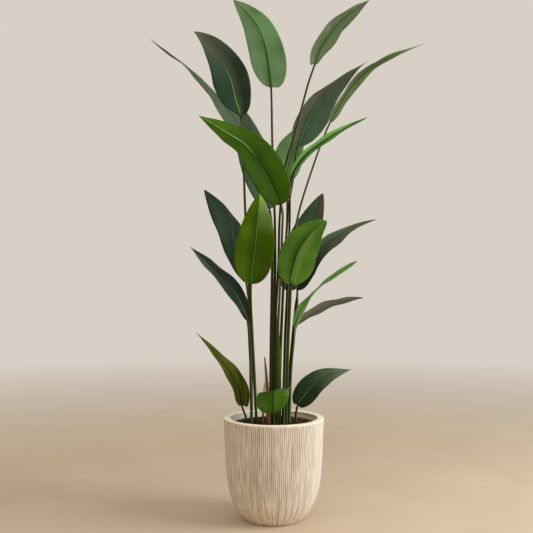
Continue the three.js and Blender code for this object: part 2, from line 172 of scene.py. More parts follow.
# ------------------------------------------------------------------ planter
# The planter is cast in a cream fibre-cement composite. While the skin is soft it is combed from
# the lip down to the foot, so each groove has its own depth and wander, and the lip is wiped smooth.

RIM_RADIUS, POT_HEIGHT = 0.165, 0.333
WALL_LEAN, BELLY_DEPTH, BELLY_POWER = 0.014, 0.058, 6
LIP_WIDTH, LIP_ROUND, LIP_INNER_ROUND = 0.023, 0.0028, 0.004
LEDGE_DROP, LEDGE_WIDTH, LEDGE_ROUND, LEDGE_CORNER = 0.014, 0.008, 0.0012, 0.0015
WELL_RADIUS = RIM_RADIUS - LIP_WIDTH - LEDGE_WIDTH
WELL_STRAIGHT, WELL_NARROWING, WELL_BELLY = 0.040, 0.014, 0.110
FLOOR_RADIUS, FLOOR_TOP = 0.081, 0.016
FLUTES, TOOTH_STEPS, GROOVE_HALF, GROOVE_DEPTH, GROOVE_FADE = 157, 8, 0.24, 0.0026, 0.0018
WANDER, SHALLOWEST = 0.03, 0.6
WALL_ROWS, ROWS_TOWARDS_FOOT, COMB_KNOTS = 64, 0.35, 9
comb = np.random.default_rng(11)


def wall_radius(height):
    below = 1 - height / POT_HEIGHT
    return RIM_RADIUS - WALL_LEAN * below - BELLY_DEPTH * below ** BELLY_POWER


wall_top = POT_HEIGHT - LIP_ROUND
climb = np.linspace(0, 1, WALL_ROWS)
wall_heights = wall_top * (ROWS_TOWARDS_FOOT * climb ** 2 + (1 - ROWS_TOWARDS_FOOT) * climb)


def drift(low, high):
    """A value for each flute that changes slowly on its way up the wall."""
    marks = comb.uniform(low, high, (FLUTES, COMB_KNOTS))
    places = wall_heights / POT_HEIGHT * (COMB_KNOTS - 1)
    lower = np.clip(places.astype(int), 0, COMB_KNOTS - 2)
    ease = (1 - np.cos(math.pi * (places - lower))) / 2
    return marks[:, lower] * (1 - ease) + marks[:, lower + 1] * ease


wander = drift(-WANDER, WANDER)
stain = drift(0.0, 1.0)
depths = drift(SHALLOWEST, 1.0)
# Towards the foot the flutes crowd together, so most of them die out and every few are cut deeper.
CROWDED_BELOW, CROWDING, DEEPENED, DIED_OUT = 0.13, 0.08, 0.2, 0.85
foot_share = np.clip((CROWDED_BELOW - wall_heights) / CROWDING, 0, 1)
kept = (np.arange(FLUTES) % 4 == 0) | (np.arange(FLUTES) % 9 == 2)
depths = depths * np.where(kept[:, None], 1 + DEEPENED * foot_share, 1 - DIED_OUT * foot_share)

sides = FLUTES * TOOTH_STEPS
turns = np.arange(sides) / sides * 2 * math.pi
across_tooth = (np.arange(sides) % TOOTH_STEPS) / TOOTH_STEPS
tooth = np.arange(sides) // TOOTH_STEPS
groove_at = 0.5 + wander[tooth]
groove = np.clip(1 - ((across_tooth[:, None] - groove_at) / GROOVE_HALF) ** 2, 0, 1) * depths[tooth]
groove = groove * np.clip((wall_top - wall_heights) / GROOVE_FADE, 0, 1)
plain_wall = wall_radius(wall_heights)
wall = plain_wall - GROOVE_DEPTH * groove * (plain_wall / RIM_RADIUS)

opening = RIM_RADIUS - LIP_WIDTH
ledge_top = POT_HEIGHT - LEDGE_DROP
lip_rows = [
    (RIM_RADIUS - LIP_ROUND + LIP_ROUND * math.cos(a), POT_HEIGHT - LIP_ROUND + LIP_ROUND * math.sin(a))
    for a in np.radians([15, 30, 45, 60, 75, 90])
]
lip_rows += [(RIM_RADIUS - LIP_WIDTH / 2, POT_HEIGHT)]
lip_rows += [
    (opening + LIP_INNER_ROUND - LIP_INNER_ROUND * math.sin(a),
     POT_HEIGHT - LIP_INNER_ROUND + LIP_INNER_ROUND * math.cos(a))
    for a in np.radians([0, 22, 45, 68, 90])
]
lip_rows += [
    (opening, ledge_top + LEDGE_CORNER), (opening - LEDGE_ROUND, ledge_top),
    (WELL_RADIUS + LEDGE_ROUND, ledge_top), (WELL_RADIUS, ledge_top - LEDGE_ROUND),
    (WELL_RADIUS, ledge_top - WELL_STRAIGHT), (WELL_RADIUS - WELL_NARROWING, WELL_BELLY),
    (FLOOR_RADIUS, FLOOR_TOP),
]
rows = [(wall[:, i], wall_heights[i], groove[:, i], stain[tooth, i]) for i in range(WALL_ROWS)]
# The wiped lip takes none of the tan, and the ledge and the well have the full tan all over, so the inside is
# darker.
for radius, height in lip_rows:
    tint = 0.0 if radius > opening else 1.0
    rows.append((np.full(sides, radius), height, np.zeros(sides), np.full(sides, tint)))
MIDDLE_STAIN = 0.3
pot_points = [(0.0, 0.0, 0.0)]
pot_groove, pot_stain = [0.0], [MIDDLE_STAIN]
for radii, height, cut, tint in rows:
    pot_points += list(zip(radii * np.cos(turns), radii * np.sin(turns), [height] * sides))
    pot_groove += list(cut)
    pot_stain += list(tint)
pot_points.append((0.0, 0.0, FLOOR_TOP))
pot_groove.append(0.0)
pot_stain.append(MIDDLE_STAIN)


def hoop_faces(hoops, sides, start=0):
    """The four-sided faces between hoops of points that follow each other up a piece."""
    faces = []
    for hoop in range(hoops - 1):
        for side in range(sides):
            a, b = (start + hoop * sides + corner for corner in (side, (side + 1) % sides))
            faces.append((a, b, b + sides, a + sides))
    return faces


last_hoop = 1 + (len(rows) - 1) * sides
pot_faces = hoop_faces(len(rows), sides, 1)
for side in range(sides):
    after = (side + 1) % sides
    pot_faces.append((0, 1 + after, 1 + side))
    pot_faces.append((last_hoop + side, last_hoop + after, len(pot_points) - 1))


def sums(tree, operation, first, second=0.0, clamp=False):
    """One step of arithmetic on the finish's values."""
    made = node(tree, "ShaderNodeMath", {0: first, 1: second}, operation=operation, use_clamp=clamp)
    return made.outputs["Value"]


def relief(tree, height, depth, normal=None):
    """Fine bumps of this depth in metres, on top of those that the normal has."""
    plugs = {"Height": height, "Distance": depth}
    if normal:
        plugs["Normal"] = normal
    return node(tree, "ShaderNodeBump", plugs).outputs["Normal"]


def keep_fact(piece, name, values):
    """Keeps a value at every point of a piece, for its finish to read."""
    piece.data.attributes.new(name, "FLOAT", "POINT").data.foreach_set("value", values)


def fact(tree, name):
    return node(tree, "ShaderNodeAttribute", attribute_name=name).outputs["Fac"]


def facing_window(tree):
    """How far the surface faces right, towards the window: 1 if squarely, -1 if squarely away."""
    normal = node(tree, "ShaderNodeNewGeometry").outputs["Normal"]
    return node(tree, "ShaderNodeSeparateXYZ", {0: normal}).outputs["X"]


UPRIGHT = (1.0, 1.0, 0.03)
combed, tree, shader = new_finish("combed_composite")
streaks = grain(tree, 0.009, 4.0, stretch=UPRIGHT)
clouds = grain(tree, 0.09)
wash = sums(tree, "MULTIPLY", fact(tree, "stain"), 0.4)
tone = sums(tree, "ADD", wash, sums(tree, "MULTIPLY", streaks, 0.7))
cream = blend_colours(tree, fit_range(tree, tone, 0.3, 0.9), paint(252, 244, 228), paint(202, 180, 147))
cream = blend_colours(tree, fit_range(tree, clouds, 0.35, 0.7, 0.0, 0.35), cream, paint(224, 213, 196))
# Painted light: the side towards the window is painted paler, as a painted highlight, and the side away from
# it a darker tan, as painted shade.
facing = facing_window(tree)
cream = blend_colours(tree, fit_range(tree, facing, -0.2, -1.0, 0.0, 0.4), cream, paint(158, 126, 86))
cream = blend_colours(tree, fit_range(tree, facing, 0.2, 0.9, 0.0, 0.6), cream, paint(234, 234, 234))
# Painted shade: the grooves are painted a darker brown, the deeper ones darker.
painted_groove_shade = sums(tree, "MULTIPLY", fact(tree, "groove"), fit_range(tree, streaks, 0.3, 0.7, 0.55, 0.95))
tree.links.new(blend_colours(tree, painted_groove_shade, cream, paint(98, 72, 44)), shader.inputs["Base Color"])
pores = grain(tree, 0.0016, 4.0)
tree.links.new(relief(tree, pores, 0.0004, relief(tree, streaks, 0.0006)), shader.inputs["Normal"])
tree.links.new(fit_range(tree, pores, 0.2, 0.8, 0.72, 0.9), shader.inputs["Roughness"])

planter = skin("fluted_planter", pot_points, pot_faces, [combed])
keep_fact(planter, "groove", pot_groove)
keep_fact(planter, "stain", pot_stain)
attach(planter, "root")
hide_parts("planter")


# ------------------------------------------------------------------ soil
# Dark potting soil fills the well to just under the ledge. Its surface is loose and falls a little
# towards the wall, with crumbs and small clods lying pressed into it.

SOIL_TOP, SOIL_RADIUS = 0.316, 0.133
SOIL_RINGS, SOIL_SPOKES = 70, 220
SOIL_FALL = 0.0032
UNDER_SOIL = ((SOIL_RADIUS, 0.279), (SOIL_RADIUS - WELL_NARROWING, WELL_BELLY), (0.080, 0.0165))
# Lumps and crumbs: how many to a metre, a layer of their own, and how high they stand.
UNEVENNESS = ((38, 0, 0.0016), (130, 3, 0.0011), (420, 7, 0.0007))
CLODS, CLOD_SIZES, CLOD_SHAPES = 620, (0.0010, 0.0036), (0.7, 1.15)
CLOD_FLATNESS, CLOD_LIFT, CLODS_KEEP_IN = 0.45, 0.3, 0.006
tilth = np.random.default_rng(5)


def soil_height(x, y):
    reach = math.hypot(x, y) / SOIL_RADIUS
    lumps = sum(noise.noise(Vector((x, y, layer)) * many) * rise for many, layer, rise in UNEVENNESS)
    return SOIL_TOP - SOIL_FALL * reach ** 4 + lumps * (1 - reach ** 12)


soil_points = [(0.0, 0.0, soil_height(0, 0))]
rings = [(SOIL_RADIUS * ring / SOIL_RINGS, None) for ring in range(1, SOIL_RINGS + 1)] + list(UNDER_SOIL)
for reach, height in rings:
    for spoke in range(SOIL_SPOKES):
        turn = spoke / SOIL_SPOKES * 2 * math.pi
        x, y = reach * math.cos(turn), reach * math.sin(turn)
        soil_points.append((x, y, soil_height(x, y) if height is None else height))
soil_faces = []
for spoke in range(SOIL_SPOKES):
    after = (spoke + 1) % SOIL_SPOKES
    soil_faces.append((0, 1 + spoke, 1 + after))
    for ring in range(len(rings) - 1):
        a, b = 1 + ring * SOIL_SPOKES + spoke, 1 + ring * SOIL_SPOKES + after
        soil_faces.append((a, a + SOIL_SPOKES, b + SOIL_SPOKES, b))
last_ring = 1 + (len(rings) - 1) * SOIL_SPOKES
soil_faces.append(tuple(last_ring + spoke for spoke in reversed(range(SOIL_SPOKES))))
# A clod is a twenty-sided lump, pressed flat and made uneven.
GOLDEN = (1 + 5 ** 0.5) / 2
clod_corners = [Vector(c).normalized() for c in (
    (-1, GOLDEN, 0), (1, GOLDEN, 0), (-1, -GOLDEN, 0), (1, -GOLDEN, 0), (0, -1, GOLDEN), (0, 1, GOLDEN),
    (0, -1, -GOLDEN), (0, 1, -GOLDEN), (GOLDEN, 0, -1), (GOLDEN, 0, 1), (-GOLDEN, 0, -1), (-GOLDEN, 0, 1))]
clod_faces = [
    (0, 11, 5), (0, 5, 1), (0, 1, 7), (0, 7, 10), (0, 10, 11), (1, 5, 9), (5, 11, 4), (11, 10, 2),
    (10, 7, 6), (7, 1, 8), (3, 9, 4), (3, 4, 2), (3, 2, 6), (3, 6, 8), (3, 8, 9), (4, 9, 5),
    (2, 4, 11), (6, 2, 10), (8, 6, 7), (9, 8, 1)]
for _ in range(CLODS):
    turn = tilth.uniform(0, 2 * math.pi)
    reach = (SOIL_RADIUS - CLODS_KEEP_IN) * math.sqrt(tilth.uniform(0, 1))
    size = tilth.uniform(*CLOD_SIZES) * tilth.uniform(0.5, 1)
    x, y = reach * math.cos(turn), reach * math.sin(turn)
    spin = Vector(tilth.normal(size=3)).normalized()
    start = len(soil_points)
    for corner in clod_corners:
        lump = corner * size * tilth.uniform(*CLOD_SHAPES)
        lump = lump - spin * lump.dot(spin) * CLOD_FLATNESS
        soil_points.append((x + lump.x, y + lump.y, soil_height(x, y) + size * CLOD_LIFT + lump.z))
    soil_faces += [tuple(start + corner for corner in face) for face in clod_faces]

potting_soil, tree, shader = new_finish("potting_soil")
damp = grain(tree, 0.03, 4.0)
crumb = grain(tree, 0.0022, 5.0)
earth = blend_colours(tree, fit_range(tree, crumb, 0.35, 0.7), paint(28, 21, 11), paint(74, 58, 36))
earth = blend_colours(tree, fit_range(tree, damp, 0.3, 0.7, 0.0, 0.5), earth, paint(48, 37, 24))
tree.links.new(earth, shader.inputs["Base Color"])
tree.links.new(relief(tree, crumb, 0.0012), shader.inputs["Normal"])
tree.links.new(fit_range(tree, damp, 0.3, 0.7, 0.75, 0.95), shader.inputs["Roughness"])
shader.inputs["Specular IOR Level"].default_value = 0.12
soil = skin("loose_soil", soil_points, soil_faces, [potting_soil])
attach(soil, "root")
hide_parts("soil")


# ------------------------------------------------------------------ top fronds
# The oldest fronds stand tallest. Each is one grown piece: a stalk, channelled on its upper side,
# that runs on as the midrib, with a leathery blade pleated along its side veins on either hand.

MM = 0.001
FOOT_DEPTHS = (0.062, 0.031)
COLLAR_RADIUS = 0.0034
SHEATH_END = 0.035
SPAN_STEPS = 40
STALK_ROWS_PER_SPAN = 9
VEIN_PITCH, ROWS_PER_VEIN = 0.0112, 5
VEIN_RISE, VEIN_BEND, FANNING = 0.7, 1.3, 0.7
PLEAT_HEIGHT, EDGE_RUFFLE, RUFFLES_TO_A_METRE = 0.00042, 0.0022, 26
BLADE_MIDDLE, BLADE_EDGE, BLADE_ARCH = 0.0011, 0.0006, 0.05
EDGE_WAVES, EDGE_WAVE_SHIFT, LOBE_START, LOBE_FADE = 2.5, 1.3, 0.012, 8
RIB_THINNING, RIB_FLATNESS, RIB_CHANNEL, STALK_CHANNEL = 0.82, 0.93, 0.45, 0.32
# The channel begins within a sixth of the stalk and ends over the last ninth of the blade.
CHANNEL_BEGINS, CHANNEL_ENDS = 6, 9
# The stalk opens out into the blade within this share of the blade's length, over closer rows.
OPENS_WITHIN, ROWS_AT_COLLAR = 0.05, 8
RIB_ANGLES = np.radians([0, 22.5, 45, 67.5, 90])
OUTER_COLUMNS, COLUMNS_TOWARDS_RIB = 9, 1.15
UPPER_SIDE, UNDER_SIDE, STALK_SIDE = 0, 1, 2


def run_of(points):
    """The smooth run through the drawing's points: places, and how far along the points each is."""
    points = np.array(points, float)
    ends = [2 * points[0] - points[1], *points, 2 * points[-1] - points[-2]]
    places, marks = [], []
    for span in range(len(points) - 1):
        p0, p1, p2, p3 = ends[span:span + 4]
        d0, d1, d2 = (math.sqrt(np.linalg.norm(b - a)) for a, b in ((p0, p1), (p1, p2), (p2, p3)))
        start = ((p1 - p0) / d0 - (p2 - p0) / (d0 + d1) + (p2 - p1) / d1) * d1
        end = ((p2 - p1) / d1 - (p3 - p1) / (d1 + d2) + (p3 - p2) / d2) * d1
        for step in range(SPAN_STEPS + (span == len(points) - 2)):
            t = step / SPAN_STEPS
            bend, turn = 3 * (p2 - p1) - 2 * start - end, 2 * (p1 - p2) + start + end
            places.append(p1 + start * t + bend * t ** 2 + turn * t ** 3)
            marks.append(span + t)
    return np.array(places), np.array(marks)


def unit(vectors):
    return vectors / np.linalg.norm(vectors, axis=-1, keepdims=True)


def trail(values, at, amounts):
    """The places or headings where the run has come this far, between those that are known."""
    return np.stack([np.interp(at, amounts, values[:, axis]) for axis in range(3)], axis=-1)


def rooted(route):
    """A drawn route in metres that begins with two points down in the soil, below its first."""
    x, y = route[0]
    return np.array([(x, y, (SOIL_TOP - depth) / MM) for depth in FOOT_DEPTHS] + route[1:], float) * MM


def eased(share):
    """A share from 0 to 1 that starts and ends gently."""
    return share * share * (3 - 2 * share)


def each_half(measure, side):
    """A measure that is given once, or as a pair for the halves on the left and on the right."""
    left, right = measure if isinstance(measure, tuple) else (measure, measure)
    return np.where(side < 0, left, right)


def blade_reach(along, wide, blunt, taper):
    """How far a half reaches out at this share of the blade's length, from its greatest reach."""
    widest = blunt / (blunt + taper)
    along = np.clip(along, 1e-9, 1)
    return wide * (along / widest) ** blunt * ((1 - along) / (1 - widest)) ** taper


def rib_radius(along):
    return COLLAR_RADIUS * (1 - RIB_THINNING * along) ** 0.8


def tube_faces(hoops, sides):
    """The faces of a closed tube: its wall, then a lid at either end."""
    lids = [tuple(reversed(range(sides))), tuple(range((hoops - 1) * sides, hoops * sides))]
    return hoop_faces(hoops, sides) + lids


def grow_frond(name, slot, width, stalk, midrib, face, foot=5, sheath=None, blunt=0.46, taper=0.8, fold=8,
               wave=3, lobe=0, pleat=0.5, dark=0.3, painted_sheen=0.4, **looks):
    """Grows one frond: rows up the stalk first, then blade rows that follow the side veins.

    Width, stalk, midrib, foot radius, wave and lobe are in millimetres, and the fold in degrees. The
    face is which way the blade's upper side looks, from collar to tip. A sheath is its radius and
    the height where it ends. Blunt and taper draw the outline in at the base and at the tip. Dark
    sets how dark the stalk is, and the painted sheen how strong the painted highlight on its window
    side is; the looks go to the blade's finishes.
    """
    seed = sum(ord(letter) for letter in name)
    places, marks = run_of(rooted(stalk + midrib))
    lengths = np.concatenate([[0], np.cumsum(np.linalg.norm(np.diff(places, axis=0), axis=1))])
    tangents = unit(np.gradient(places, lengths, axis=0))
    collar = len(stalk)
    collar_length = np.interp(collar, marks, lengths)
    blade_length = lengths[-1] - collar_length
    faces_up = unit(np.array(face, float))

    # Rows: up the stalk, then a few for each side vein, closer together where the blade opens.
    stalk_marks = np.linspace(0, collar, collar * STALK_ROWS_PER_SPAN, endpoint=False)
    radius_at = foot * MM + (COLLAR_RADIUS - foot * MM) * stalk_marks / collar
    if sheath:
        wide, top = np.array(sheath) * MM
        bare = np.clip((np.interp(stalk_marks, marks, places[:, 2]) - top) / SHEATH_END + 1, 0, 1)
        radius_at = wide + (radius_at - wide) * eased(bare)
    veins = max(6, round(blade_length / VEIN_PITCH))
    even = np.linspace(0, 1, veins * ROWS_PER_VEIN + 1)
    closer = even[1] * np.linspace(0, 1, ROWS_AT_COLLAR, endpoint=False) ** 2
    starts = np.concatenate([closer, even[1:]])[:, None]

    # Columns: the round of the rib first, then out to the edge, the same on both hands.
    outward = (np.arange(1, OUTER_COLUMNS + 1) / OUTER_COLUMNS) ** COLUMNS_TOWARDS_RIB
    inner = np.concatenate([np.sin(RIB_ANGLES), np.ones(OUTER_COLUMNS)])
    outer = np.concatenate([np.zeros(len(RIB_ANGLES)), outward])
    inner = np.concatenate([-inner[:0:-1], inner])
    outer = np.concatenate([-outer[:0:-1], outer])
    columns = len(inner)
    side = np.sign(inner)
    measures = (each_half(width, side) / 2 * MM, each_half(blunt, side), each_half(taper, side))
    slope = np.radians(each_half(fold, side))

    # Each row leans forward along its side vein, so the place along the blade changes across it.
    rib = rib_radius(starts)
    reach = np.maximum(blade_reach(starts, *measures), rib * 1.001)
    share = (inner * rib + outer * (reach - rib)) / reach
    skew = VEIN_RISE * starts ** FANNING * (1 - starts)
    along = np.clip(starts + skew * np.abs(share) ** VEIN_BEND, 0, 1)
    least = np.where(along > 0.5, BLADE_EDGE, rib * 1.001)
    reach = np.maximum(blade_reach(along, *measures), least)
    rib = np.minimum(rib_radius(along), reach * 0.98)
    off = inner * rib + outer * (reach - rib)
    share = off / reach
    size = np.abs(share)

    # The lift of the skin: the fold, the wavy edge, a slight arch, the pleats and a fine ruffle.
    swing = np.sin(math.pi * along)
    ease = np.sqrt(np.clip(swing, 0, 1))
    lift = size * reach * np.sin(slope)
    waves = np.sin(along * EDGE_WAVES * 2 * math.pi + share * EDGE_WAVE_SHIFT)
    lift += wave * MM * share ** 2 * swing * waves
    lift += BLADE_ARCH * 4 * reach * (size - size ** 2) * ease
    ridges = np.cos(starts * veins * 2 * math.pi) * np.sin(math.pi * np.clip(size, 0, 1)) ** 0.6
    lift += PLEAT_HEIGHT * each_half(pleat, side) * ridges * ease
    closeness = blade_length * RUFFLES_TO_A_METRE
    ruffle = [[noise.noise(Vector((a * closeness, math.copysign(seed, s), 0.5))) for a, s in zip(*row)]
              for row in zip(along, share)]
    lift += EDGE_RUFFLE * np.array(ruffle) * size ** 5 * ease

    # Two skins: the stalk's round opens out into the thin blade, and stays on as the rib below.
    opened = eased(np.clip(along / OPENS_WITHIN, 0, 1))
    round_rise = np.sqrt(np.clip(rib ** 2 - off ** 2, 0, None))
    thick = (BLADE_MIDDLE + (BLADE_EDGE - BLADE_MIDDLE) * size) * np.clip(opened + 0.02, 0, 1) / 2
    channel = RIB_CHANNEL * (1 - np.clip(np.abs(off) / rib, 0, 1) ** 2) ** 2 * rib * (0.7 + 0.3 * opened)
    channel = channel * np.clip((1 - along) * CHANNEL_ENDS, 0, 1)
    upper_rise = round_rise * (1 - RIB_FLATNESS * opened) - channel + thick
    lower_rise = -round_rise - thick

    at = collar_length + along * blade_length
    heading = unit(trail(tangents, at, lengths))
    spread = along * (len(faces_up) - 1)
    first = np.minimum(spread.astype(int), len(faces_up) - 2)
    up = faces_up[first] + (faces_up[first + 1] - faces_up[first]) * (spread - first)[..., None]
    up = unit(up - heading * np.sum(up * heading, axis=-1, keepdims=True))
    hand = np.cross(heading, up)
    drop = np.sin(math.pi / 2 * np.clip(along / LOBE_START, 0, 1))
    drop = drop * np.sin(math.pi / 2 * np.clip(size, 0, 1)) ** 2
    hang = each_half(lobe, side) * MM * drop * (1 - along) ** LOBE_FADE
    sheet = trail(places, at, lengths) - heading * hang[..., None]
    sheet = sheet + hand * (off * (np.cos(slope) * opened + 1 - opened))[..., None]
    upper = sheet + up * (lift + upper_rise)[..., None]
    lower = sheet + up * (lift + lower_rise)[..., None]

    stalk_heading = unit(trail(tangents, stalk_marks, marks))
    up = unit(faces_up[0] - stalk_heading * (stalk_heading @ faces_up[0])[:, None])[:, None, :]
    hand = np.cross(stalk_heading, up[:, 0, :])[:, None, :]
    bow = inner * radius_at[:, None]
    round_rise = np.sqrt(np.clip(radius_at[:, None] ** 2 - bow ** 2, 0, None))
    climb = np.clip(stalk_marks / collar * CHANNEL_BEGINS, 0, 1)[:, None]
    channel = STALK_CHANNEL * (1 - inner ** 2) ** 2 * radius_at[:, None] * climb
    core = trail(places, stalk_marks, marks)[:, None, :] + hand * bow[..., None]
    channelled, rounded = core + up * (round_rise - channel)[..., None], core - up * round_rise[..., None]
    rings = np.concatenate([
        np.concatenate([channelled, rounded[:, ::-1]], axis=1),
        np.concatenate([upper, lower[:, ::-1]], axis=1),
    ])

    count, stalk_rows, total = columns * 2, len(stalk_marks), len(rings)
    nothing = np.zeros((stalk_rows, columns))
    vein_line = np.repeat(starts * veins, columns, axis=1)
    stalk_run = np.repeat(np.interp(stalk_marks, marks, lengths)[:, None], columns, axis=1)
    # What the finishes read: the share of the way out to the edge and metres off the midrib, the side
    # vein, metres up the stalk, the share along the blade, how dark the stalk is, and the strength of
    # its painted sheen on the window side.
    facts = {
        "share": np.concatenate([nothing, share]),
        "off": np.concatenate([bow, off]),
        "vein": np.concatenate([nothing, vein_line]),
        "run": np.concatenate([stalk_run, np.full(share.shape, collar_length)]),
        "along": np.concatenate([nothing, along]),
        "dark": np.full((total, columns), dark),
        "painted_sheen": np.full((total, columns), painted_sheen),
    }
    blade_row = [UPPER_SIDE] * columns + [UNDER_SIDE] * columns
    sides_of_faces = [STALK_SIDE] * count * (stalk_rows - 1) + blade_row * (total - stalk_rows)
    sides_of_faces += [STALK_SIDE, UPPER_SIDE]
    piece = skin("leaf_" + name, rings.reshape(-1, 3), tube_faces(total, count),
                 [*blade_finishes(name, **looks), stalk_skin], sides_of_faces)
    for fact_name, values in facts.items():
        values = np.concatenate([values, values[:, ::-1]], axis=1).ravel().astype(np.float32)
        keep_fact(piece, fact_name, values)
    close_up(piece)
    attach(piece, "root")
    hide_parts("frond_" + name)


MEETS_WITHIN = 1.5e-5


def close_up(piece):
    """Joins the columns that meet in one point on the stalk, and turns every face outwards."""
    mesh = bmesh.new()
    mesh.from_mesh(piece.data)
    bmesh.ops.remove_doubles(mesh, verts=mesh.verts, dist=MEETS_WITHIN)
    bmesh.ops.recalc_face_normals(mesh, faces=mesh.faces)
    mesh.to_mesh(piece.data)
    mesh.free()


WARM_GREY = (118, 112, 96)
BAND_TONES = ((0.72, 0.72, 0.72, 1), (1.28, 1.28, 1.28, 1))
DRY_TIP, RIB_AT_COLLAR = paint(90, 70, 40), paint(48, 46, 18)
LEAF_RELIEF, FINE_VEINS, SEAM = 0.00004, 4, 0.01


def toned(colour, strength, grey=0.0):
    """A paint drawn towards a warm grey, then made lighter or darker."""
    drawn = (value * (1 - grey) + dull * grey for value, dull in zip(colour, WARM_GREY))
    return tuple(min(255, value * strength) for value in drawn)


def blade_finish(name, halves, ribs, tip, gloss, shine, bands, line, rib_edge, valley):
    """One side of a blade: each half's green, with painted light and shade in it, side veins, the midrib and
    a paler margin.

    The greens and ribs are paints. The tip is where its tone begins and the tone, or one for each
    half: the leaf's own colour on some fronds, painted highlights on others and painted reflections
    on others again. The rib shading is the greens beside the midrib, painted shade on some fronds
    and painted highlight on others, and the rib shadow a painted shadow along the midrib.
    """
    material, tree, shader = new_finish(name)
    share, vein, off, along = (fact(tree, kind) for kind in ("share", "vein", "off", "along"))
    clouds = grain(tree, 0.06, 2.0)
    size = sums(tree, "ABSOLUTE", share)
    fine = sums(tree, "SINE", sums(tree, "MULTIPLY", vein, 2 * math.pi * FINE_VEINS))
    broad = sums(tree, "COSINE", sums(tree, "MULTIPLY", vein, 2 * math.pi))
    striping = fit_range(tree, share, -SEAM, SEAM, *np.broadcast_to(bands, 2))
    stripes = sums(tree, "ADD", broad, sums(tree, "MULTIPLY", fine, 0.4))
    mix = fit_range(tree, clouds, 0.3, 0.7, 0.2, 0.8)
    mix = sums(tree, "ADD", mix, sums(tree, "MULTIPLY", stripes, striping), clamp=True)
    towards_tip, *tips = tip
    sides = []
    # Beside the midrib the greens are painted shade on some fronds and painted highlight on others, fading
    # out half way to the edge.
    from_valley = fit_range(tree, size, 0.04, 0.5)
    # Towards the tip the greens turn to the tip's tone: the leaf's own colour on some fronds, painted
    # highlights on others and painted reflections on others again.
    to_tip = sums(tree, "POWER", fit_range(tree, along, towards_tip, 0.98, 0.0, 0.9), 1.3)
    for half, end, shading_by_rib in zip(halves, (tips[0], tips[-1]), valley or halves):
        green = blend_colours(tree, from_valley, paint(*shading_by_rib), paint(*half))
        sides.append(blend_colours(tree, to_tip, green, paint(*end)))
    colour = blend_colours(tree, fit_range(tree, share, -SEAM, SEAM), *sides)
    colour = blend_colours(tree, 1.0, colour, blend_colours(tree, mix, *BAND_TONES), way="MULTIPLY")
    margin = paint(*toned(halves[1], 1.3, 0.3))
    colour = blend_colours(tree, fit_range(tree, size, 0.96, 0.995, 0.0, 0.6), colour, margin)
    width = sums(tree, "MULTIPLY", sums(tree, "SUBTRACT", 1.1, along), line)
    from_rib = sums(tree, "DIVIDE", sums(tree, "ABSOLUTE", off), width)
    # A painted shadow in a narrow band along both sides of the midrib.
    if rib_edge:
        shadow = fit_range(tree, from_rib, 1.2, 2.6, 0.7, 0.0)
        colour = blend_colours(tree, shadow, colour, paint(*rib_edge))
    # Half way up, the midrib turns from its near tone to its far one; on the front fronds the far tone is a
    # painted highlight along the midrib.
    rib_tone = blend_colours(tree, fit_range(tree, along, 0.42, 0.62), paint(*ribs[0]), paint(*ribs[1]))
    rib_tone = blend_colours(tree, fit_range(tree, along, 0.0, 0.07), RIB_AT_COLLAR, rib_tone)
    colour = blend_colours(tree, fit_range(tree, from_rib, 0.5, 1.2, 1.0, 0.0), colour, rib_tone)
    colour = blend_colours(tree, fit_range(tree, along, 0.988, 1.0, 0.0, 0.8), colour, DRY_TIP)
    tree.links.new(colour, shader.inputs["Base Color"])
    speck = grain(tree, 0.0012, 2.0)
    bumps = sums(tree, "ADD", sums(tree, "MULTIPLY", fine, 0.5), speck)
    tree.links.new(relief(tree, bumps, LEAF_RELIEF), shader.inputs["Normal"])
    tree.links.new(fit_range(tree, clouds, 0.3, 0.7, gloss, gloss + 0.1), shader.inputs["Roughness"])
    shader.inputs["Specular IOR Level"].default_value = shine
    return material


HIDDEN_RIB_WIDTH = 0.0024


def blade_finishes(name, halves, rib, far_rib=None, tip=None, gloss=0.36, shine=0.09, bands=0.16, line=0.0022,
                   rib_edge=None, valley=None, shows="upper", turned=None):
    """The two sides of a blade, from the colours of the side that the front view shows.

    The underside is paler, greyer and rougher than the upper side, unless it has a turned colour.
    """
    tip = tip or (0.9, *halves)
    ribs = (rib, far_rib or rib)
    shown = blade_finish(f"{name}_{shows}", halves, ribs, tip, gloss, shine, bands, line, rib_edge, valley)
    other = "under" if shows == "upper" else "upper"
    strength, grey, rougher = (1.12, 0.35, 0.1) if other == "under" else (0.86, 0.0, -0.06)
    backs = [turned or toned(half, strength, grey) for half in halves]
    ribs = [toned(colour, strength, grey / 2) for colour in ribs]
    tip = (tip[0], *(toned(colour, strength, grey) for colour in tip[1:]))
    hidden = blade_finish(f"{name}_{other}", backs, ribs, tip, gloss + rougher, shine, bands,
                          HIDDEN_RIB_WIDTH, None, None)
    return (shown, hidden) if shows == "upper" else (hidden, shown)


stalk_skin, tree, shader = new_finish("stalk_skin")
height = fit_range(tree, fact(tree, "run"), 0.0, 0.6)
streaks = grain(tree, 0.006, 4.0, stretch=UPRIGHT)
patches = grain(tree, 0.12, stretch=(1.0, 1.0, 0.3))
low_green = blend_colours(tree, streaks, paint(32, 58, 8), paint(74, 112, 32))
high_olive = blend_colours(tree, streaks, paint(58, 54, 6), paint(106, 100, 22))
higher = sums(tree, "ADD", height, sums(tree, "SUBTRACT", patches, 0.5), clamp=True)
rind = blend_colours(tree, higher, low_green, high_olive)
rind = blend_colours(tree, fact(tree, "dark"), rind, paint(14, 13, 4))
